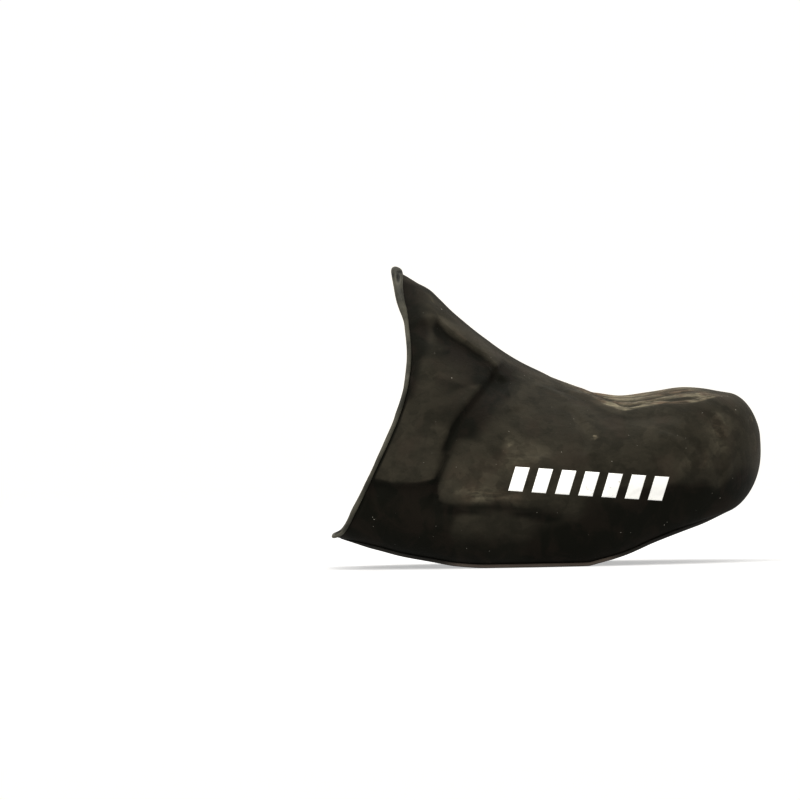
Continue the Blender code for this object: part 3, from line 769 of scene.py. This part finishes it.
def make_sole_mesh():
    """One closed skin: along the bottom, round the edge of the opening, back along the top, round the edge."""
    far, near = sole_loops()
    shares = np.linspace(0, 1, SOLE_BANDS + 1)
    quarter = np.linspace(0, math.pi, EDGE_STEPS + 2)[1:-1]
    profile = [(share, 0.0, -1.0) for share in shares]
    profile += [(1.0, math.sin(turn), -math.cos(turn)) for turn in quarter]
    profile += [(share, 0.0, 1.0) for share in shares[::-1]]
    profile += [(0.0, -math.sin(turn), math.cos(turn)) for turn in quarter]
    half = (SOLE_THICKNESS + 0.3 * MM - SOLE_BOND) / 2
    out = (far - near) / np.linalg.norm(far - near, axis=1, keepdims=True)
    rows = []
    for share, push, level in profile:
        inset = EDGE_ROUND * np.where(share < 0.5, 1 + push, 1 - push)
        flat = far + (near - far) * share
        flat = flat - out * inset[..., None] * (1 if share == 0 else -1 if share == 1 else 0)
        along = 1 - (TOE_X - flat[:, 0]) / FORM_LENGTH
        thin = SKIVED + (1 - SKIVED) * (smooth(sole_low[0], sole_low[0] + SKIVE_LENGTH, flat[:, 0])
                                        * smooth(sole_high[0], sole_high[0] - SKIVE_LENGTH, flat[:, 0]))
        height = underside(along) - SOLE_BOND + (level - 1) * half * thin
        rows.append(np.column_stack((flat, height)))
    vertices = np.concatenate(rows)
    faces = []
    for row in range(len(rows)):
        below = (row + 1) % len(rows)
        for turn in range(SOLE_TURNS):
            beside = (turn + 1) % SOLE_TURNS
            faces.append((row * SOLE_TURNS + turn, below * SOLE_TURNS + turn,
                          below * SOLE_TURNS + beside, row * SOLE_TURNS + beside))
    mesh = bpy.data.meshes.new("sole_panel")
    mesh.from_pydata(vertices.tolist(), [], faces)
    shape = bmesh.new()
    shape.from_mesh(mesh)
    bmesh.ops.recalc_face_normals(shape, faces=shape.faces)
    shape.to_mesh(mesh)
    shape.free()
    return mesh


sole = add_piece("sole_panel", make_sole_mesh())
SOLE_BLACK = (0.013, 0.0122, 0.0092, 1)
SOLE_DUSTY = (0.034, 0.030, 0.0235, 1)
EDGE_BROWN = (0.150, 0.122, 0.100, 1)
PALE_EDGE_START, PALE_EDGE_END = -33.0 * MM, 22.0 * MM   # the stretch where the edge is painted paler and the underside scraped
PALE_EDGE_FADE = 8.0 * MM
tread = Finish("worn_sole_rubber", Metallic=0.0)
wear = tread.grain(14 * MM, detail=4.0)
scrapes = tread.grain(2.0 * MM, detail=4.0, stretch=(7, 1, 1))
underneath = tread.facing("Z").between(-0.2, -0.9)
forward = tread.axis("X", tread.place())
pale_edge_stretch = forward.between(PALE_EDGE_START - PALE_EDGE_FADE, PALE_EDGE_START) * forward.between(PALE_EDGE_END + PALE_EDGE_FADE, PALE_EDGE_END)
tread_colour = tread.mix(wear.between(0.35, 0.7), SOLE_BLACK, SOLE_DUSTY)
# The edge along this stretch is brown, made paler partly as painted light on it
tread_colour = tread.mix(pale_edge_stretch * (1 - underneath) * (0.55 + wear * 0.6), tread_colour, EDGE_BROWN)
tread_colour = tread.mix(scrapes.between(0.58, 0.74) * underneath * pale_edge_stretch * 0.35, tread_colour, KHAKI_DUST)
tread.paint(Base_Color=tread_colour, Roughness=0.62 + wear * 0.2)
tread.bump((tread.grain(0.5 * MM, detail=2.0), 0.05 * MM), (scrapes * underneath, 0.10 * MM))
tread.dress(sole)
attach(sole, "root")
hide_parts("sole")

# The collar roll
# The edge of the dipped skin is rolled back on itself into a round bead that grips by its stretch. It is
# thicker at the instep, where the roll ends in a small curl with hollows in it.

ROLL_RADIUS = 0.9 * MM
ROLL_STEPS = 520
ROLL_SIDES = 18
Width = namedtuple("Width", "height share")
ROLL_WIDTHS = (Width(0.00, 0.90), Width(0.13, 0.72), Width(0.30, 0.74), Width(0.70, 0.85), Width(0.82, 0.90),
               Width(0.88, 1.50), Width(0.95, 1.80), Width(1.00, 2.20))   # share of INSTEP_HEIGHT, and of ROLL_RADIUS
Hollow = namedtuple("Hollow", "forward up wide tall deep")
CURL_HOLLOWS = (Hollow(-55.4, 112.9, 0.6, 1.7, 1.6), Hollow(-54.0, 115.0, 1.9, 0.5, 0.9),
                Hollow(-57.6, 113.6, 0.4, 0.9, 0.5))   # seen from the outer side, in millimetres


def make_roll_mesh():
    """A tube swept along the skin's edge, swelling at the instep, with the lumps of a hand-rolled rim."""
    edge, ahead, outside = skin[0], skin[1], normals[0]
    loop = np.concatenate((edge, edge[:1]))
    run = np.concatenate(([0], np.cumsum(np.linalg.norm(np.diff(loop, axis=0), axis=1))))
    even = np.linspace(0, run[-1], ROLL_STEPS, endpoint=False)

    def spread(values):
        closed = np.concatenate((values, values[:1]))
        return np.stack([np.interp(even, run, closed[:, axis]) for axis in range(3)], 1)

    centre = spread(edge)
    for _ in range(3):
        centre = (np.roll(centre, 1, axis=0) + 2 * centre + np.roll(centre, -1, axis=0)) / 4
    out = spread(outside)
    out /= np.linalg.norm(out, axis=1, keepdims=True)
    tangent = np.roll(centre, -1, axis=0) - np.roll(centre, 1, axis=0)
    tangent /= np.linalg.norm(tangent, axis=1, keepdims=True)
    back = np.cross(out, tangent)
    back *= np.sign((back * (spread(edge) - spread(ahead))).sum(1))[:, None]
    lumps = np.array([noise.noise(Vector(point) / (7 * MM)) for point in centre])
    fine = np.array([noise.noise(Vector(point) / (2.2 * MM)) for point in centre])
    radius = ROLL_RADIUS * (follow(ROLL_WIDTHS, "share", centre[:, 2] / INSTEP_HEIGHT) + 0.10 * lumps + 0.05 * fine)
    proud = 0.30 * np.minimum(radius, ROLL_RADIUS) - 0.35 * np.maximum(radius - 1.5 * ROLL_RADIUS, 0)
    behind = 0.55 * ROLL_RADIUS - 0.5 * np.maximum(radius - ROLL_RADIUS, 0)
    middle = centre + out * (proud + 0.12 * MM * lumps)[:, None] + back * behind[:, None]
    rows = []
    for step in range(ROLL_SIDES):
        turn = 2 * math.pi * step / ROLL_SIDES
        flatten = 1.0 + 0.16 * math.cos(2 * turn)
        rows.append(middle + radius[:, None] * flatten * (back * math.cos(turn) + out * math.sin(turn)))
    rings = np.stack(rows, 1)
    for hollow in CURL_HOLLOWS:
        across = (rings[..., 0] / MM - hollow.forward) / hollow.wide
        above = (rings[..., 2] / MM - hollow.up) / hollow.tall
        rings[..., 1] += hollow.deep * MM * np.exp(-across ** 2 - above ** 2) * (rings[..., 1] < 4 * MM)
    vertices = rings.reshape(-1, 3)
    faces = []
    for row in range(ROLL_STEPS):
        after = (row + 1) % ROLL_STEPS
        for step in range(ROLL_SIDES):
            beside = (step + 1) % ROLL_SIDES
            faces.append((row * ROLL_SIDES + step, after * ROLL_SIDES + step,
                          after * ROLL_SIDES + beside, row * ROLL_SIDES + beside))
    mesh = bpy.data.meshes.new("collar_roll")
    mesh.from_pydata(vertices.tolist(), [], faces)
    shape = bmesh.new()
    shape.from_mesh(mesh)
    bmesh.ops.recalc_face_normals(shape, faces=shape.faces)
    shape.to_mesh(mesh)
    shape.free()
    return mesh


roll = add_piece("collar_roll", make_roll_mesh())
ROLL_BLACK = (0.034, 0.033, 0.024, 1)
ROLL_PALE = (0.095, 0.090, 0.068, 1)
rim = Finish("rolled_rim_rubber", Metallic=0.0, Specular_IOR_Level=0.35)
rubbed = rim.grain(9 * MM, detail=4.0)
rim_colour = rim.mix(rubbed.between(0.30, 0.66), ROLL_BLACK, ROLL_PALE)
curled = rim.axis("Z", rim.place()).between(0.955 * INSTEP_HEIGHT, INSTEP_HEIGHT)
rim_colour = rim.mix(curled * 0.65, rim_colour, ROLL_BLACK)
# Painted shade in the hollows of the curl
for hollow in CURL_HOLLOWS:
    shade = rim.patch((hollow.forward * MM, hollow.up * MM), (1.5 * hollow.wide * MM, 1.5 * hollow.tall * MM))
    rim_colour = rim.mix(shade, rim_colour, DEEP_GREEN)
rim.paint(Base_Color=rim_colour, Roughness=0.42 + rubbed * 0.2)
rim.bump((rim.grain(0.6 * MM, detail=2.0), 0.05 * MM), (rim.grain(2.5 * MM, detail=2.0), 0.12 * MM))
rim.dress(roll)
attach(roll, "root")
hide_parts("collar_bead")

# The reflective print
# Seven slanted dashes of pale reflective ink on the outer side, printed on the stretched rubber and
# slightly worn. They run a little downhill to the toe.

PRINT_START = -13.0 * MM
PRINT_END = 50.0 * MM
PRINT_HEIGHT = 9.5 * MM
PRINT_MIDDLE = 34.5 * MM
PRINT_DROP = 5.0
PRINT_SLANT = 0.32
DASHES = 7
DASH_SHARE = 0.62
INK = 0.07 * MM


def make_dash_mesh(skin_tree, left, right):
    """One dash laid on the skin: a patch of points found by looking at the outer side from outside."""
    across, up = 16, 14
    drop = math.tan(math.radians(PRINT_DROP))
    vertices, faces = [], []
    for row in range(up + 1):
        height = (row / up - 0.5) * PRINT_HEIGHT
        for column in range(across + 1):
            x = left + (right - left) * column / across + height * PRINT_SLANT
            z = PRINT_MIDDLE + height - (x - PRINT_START) * drop
            found, normal, _, _ = skin_tree.ray_cast(Vector((x, -1.0, z)), Vector((0, 1, 0)))
            vertices.append(found + normal * INK * (1 if normal.y < 0 else -1))
    for row in range(up):
        for column in range(across):
            here = row * (across + 1) + column
            faces.append((here, here + 1, here + across + 2, here + across + 1))
    mesh = bpy.data.meshes.new("print_dash")
    mesh.from_pydata(vertices, [], faces)
    return mesh


graph = bpy.context.evaluated_depsgraph_get()
skin_tree = BVHTree.FromObject(upper, graph)
INK_WHITE = (0.86, 0.86, 0.84, 1)
INK_WORN = (0.50, 0.49, 0.46, 1)
ink = Finish("reflective_ink", Metallic=0.0)
rub = ink.grain(1.1 * MM, detail=3.0) * ink.grain(9 * MM, detail=2.0)
ink.paint(Base_Color=ink.mix(rub.between(0.33, 0.48), INK_WHITE, INK_WORN), Roughness=0.45 + rub * 0.3)
ink.bump((ink.grain(0.4 * MM, detail=2.0), 0.02 * MM))
pitch = (PRINT_END - PRINT_START) / DASHES
for index in range(DASHES):
    left = PRINT_START + pitch * index
    dash = add_piece(f"print_dash_{index + 1}", make_dash_mesh(skin_tree, left, left + pitch * DASH_SHARE))
    film = dash.modifiers.new("film", "SOLIDIFY")
    film.thickness = INK
    film.offset = -1
    ink.dress(dash)
    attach(dash, "root")

# The stage
# A plain white floor that fades into a white room, one wide soft light overhead and a weaker one in front,
# and the camera at the photograph's place.

FLOOR_RADIUS = 3.0
bpy.ops.mesh.primitive_circle_add(vertices=128, radius=FLOOR_RADIUS, fill_type="NGON")
floor = bpy.context.object
floor.name = "floor"
paper = Finish("lit_white_floor", Base_Color=(0.36, 0.36, 0.36, 1), Roughness=0.9, Specular_IOR_Level=0.1,
               Emission_Color=(1, 1, 1, 1), Emission_Strength=0.55)
spot = paper.place()
reach = paper.node("VectorMath", {"operation": "LENGTH"}, output="Value", Vector=spot)
paper.paint(Alpha=reach.between(2.2, 0.6))
paper.dress(floor)

world = bpy.data.worlds.new("white_room")
bpy.context.scene.world = world
world.use_nodes = True
world.node_tree.nodes["Background"].inputs["Color"].default_value = (1.0, 0.975, 0.935, 1)
world.node_tree.nodes["Background"].inputs["Strength"].default_value = 1.07


def soft_light(name, place, aim, size, watts):
    light = bpy.data.lights.new(name, "AREA")
    light.shape = "RECTANGLE"
    light.size, light.size_y = size
    light.energy = watts
    lamp = bpy.data.objects.new(name, light)
    bpy.context.scene.collection.objects.link(lamp)
    lamp.location = place
    lamp.rotation_euler = (Vector(aim) - Vector(place)).to_track_quat("-Z", "Y").to_euler()


soft_light("overhead", (0.10, 0.15, 1.6), (0.0, 0.0, 0.05), (1.5, 1.1), 15.0)
soft_light("heel_side", (-1.1, -0.9, 1.1), (0.0, 0.0, 0.05), (0.7, 0.7), 12.0)

PIXEL = 0.39 * MM
PHOTO_SIDE = 800
PHOTO_ORIGIN = (545.35, 564.5)   # where the cover's middle stands on the floor, in the photograph
PHOTO_ROLL = 1.0
CAMERA_DISTANCE = 4.50
CAMERA_ELEVATION = 0.5
SENSOR = 36.0
PRINT_GAMMA = 0.72   # the photograph's contrast, which keeps white white and deepens the darks

roll_angle = math.radians(PHOTO_ROLL)
off_x = (PHOTO_SIDE / 2 - PHOTO_ORIGIN[0]) * PIXEL
off_z = (PHOTO_ORIGIN[1] - PHOTO_SIDE / 2) * PIXEL
target = Vector((off_x * math.cos(roll_angle) + off_z * math.sin(roll_angle), 0,
                 off_z * math.cos(roll_angle) - off_x * math.sin(roll_angle)))
tilt = math.radians(CAMERA_ELEVATION)
lens = bpy.data.cameras.new("camera")
lens.sensor_width = SENSOR
lens.lens = SENSOR * CAMERA_DISTANCE / (PHOTO_SIDE * PIXEL)
lens.clip_end = 20.0
camera = bpy.data.objects.new("camera", lens)
bpy.context.scene.collection.objects.link(camera)
camera.location = target + Vector((0, -math.cos(tilt), math.sin(tilt))) * CAMERA_DISTANCE
aim = (target - camera.location).to_track_quat("-Z", "Y").to_matrix()
camera.rotation_euler = (aim @ Matrix.Rotation(-roll_angle, 3, "Z")).to_euler()
bpy.context.scene.camera = camera
bpy.context.scene.view_settings.view_transform = "Standard"
bpy.context.scene.view_settings.gamma = PRINT_GAMMA
